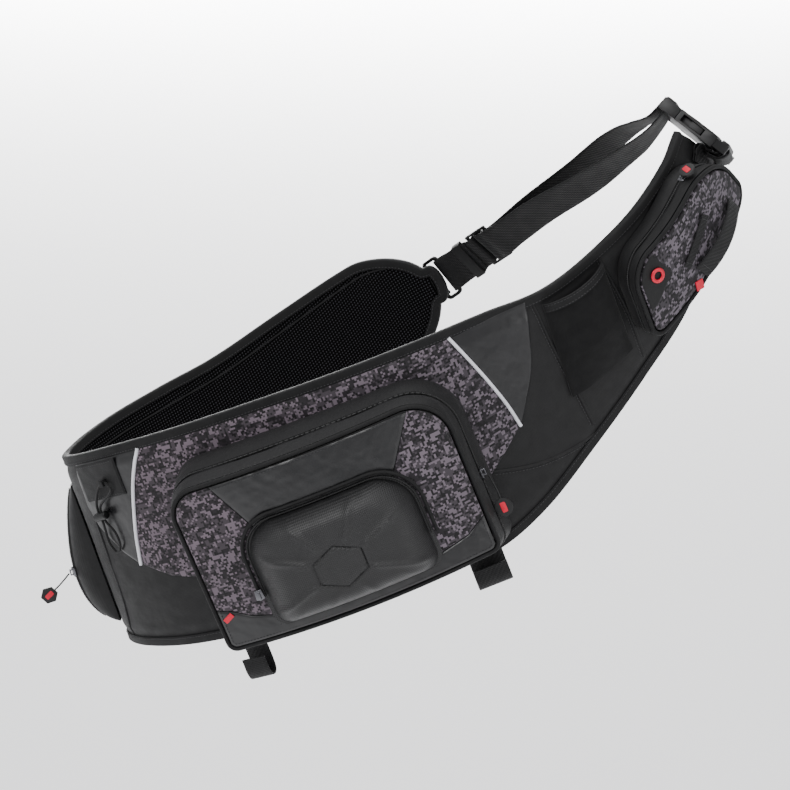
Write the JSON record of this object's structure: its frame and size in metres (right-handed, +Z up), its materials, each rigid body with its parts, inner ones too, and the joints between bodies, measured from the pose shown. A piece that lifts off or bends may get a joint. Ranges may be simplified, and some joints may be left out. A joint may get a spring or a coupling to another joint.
{
  "type": "fishing tackle sling bag",
  "caption": "Padded sling bag in the shape it is worn in, with camouflage panels, zipped pockets, a moulded pocket and a webbing strap.",
  "frame": {"origin": "inner side of the band's shoulder end, where the bag sits on the shoulder", "axes": "+X along the bag from the hip pocket to the shoulder, +Y away from the bag's front through the wearer to the wing, +Z up"},
  "size_m": [0.698, 0.3609, 0.5669],
  "materials": {
    "ink_cloth": "matt woven",
    "coated_fabric": "coated, soft sheen",
    "camouflage_fabric": "printed, matt",
    "reflective_piping": "reflective",
    "edge_tape": "woven tape",
    "air_mesh": "knitted mesh",
    "webbing": "woven webbing",
    "acetal": "moulded",
    "moulded_shell": "coated foam shell",
    "accent_enamel": "anodised",
    "accent_rubber": "moulded tag",
    "elastic_cord": "braided"
  },
  "bodies": {
    "root": {"sling_panel": "ink_cloth", "hip_wing": "air_mesh", "binding_upper": "edge_tape", "binding_lower": "edge_tape", "binding_wing": "edge_tape", "hip_coated_panel": "coated_fabric", "camo_body_panel": "camouflage_fabric", "chest_coated_panel": "coated_fabric", "reflective_piping_left": "reflective_piping", "reflective_piping_right": "reflective_piping", "main_pocket_gusset": "ink_cloth", "main_pocket_zip_tape": "webbing", "main_pocket_front_strip": "ink_cloth", "main_pocket_face": "coated_fabric", "main_pocket_piping": "edge_tape", "face_camo_left": "camouflage_fabric", "face_camo_right": "camouflage_fabric", "face_lower_strip": "coated_fabric", "moulded_pocket": "moulded_shell", "moulded_boss": "moulded_shell", "moulded_pocket_zip": "webbing", "moulded_zip_slider": "acetal", "stretch_pouch": "ink_cloth", "pouch_hem": "edge_tape", "shoulder_pocket_gusset": "ink_cloth", "shoulder_pocket_zip_tape": "webbing", "shoulder_pocket_front_strip": "ink_cloth", "shoulder_pocket_face": "camouflage_fabric", "shoulder_pocket_piping": "edge_tape", "eyelet_patch": "ink_cloth", "eyelet": "accent_enamel", "tool_webbing_narrow": "webbing", "tool_webbing_loop": "webbing", "hip_pocket_front": "ink_cloth", "hip_pocket_zip_tape": "webbing", "hip_pocket_side": "ink_cloth", "hip_pocket_back": "camouflage_fabric", "hip_webbing_patch": "webbing", "elastic_cord": "elastic_cord", "cord_anchor": "webbing", "cord_toggle": "acetal", "buckle_plug": "acetal", "buckle_socket": "acetal", "strap_webbing": "webbing", "strap_slider": "acetal", "strap_keeper": "webbing", "wing_ring": "acetal", "ring_tab": "webbing", "shoulder_tab": "webbing", "gear_loop_left": "webbing", "gear_loop_right": "webbing", "main_zip_slider": "acetal", "main_zip_puller": "acetal", "hip_zip_slider": "acetal", "hip_zip_puller": "acetal", "shoulder_zip_slider": "acetal", "shoulder_zip_puller": "acetal", "label_tag_shoulder": "accent_rubber", "label_tag_face": "accent_rubber"}
  },
  "joints": []
}
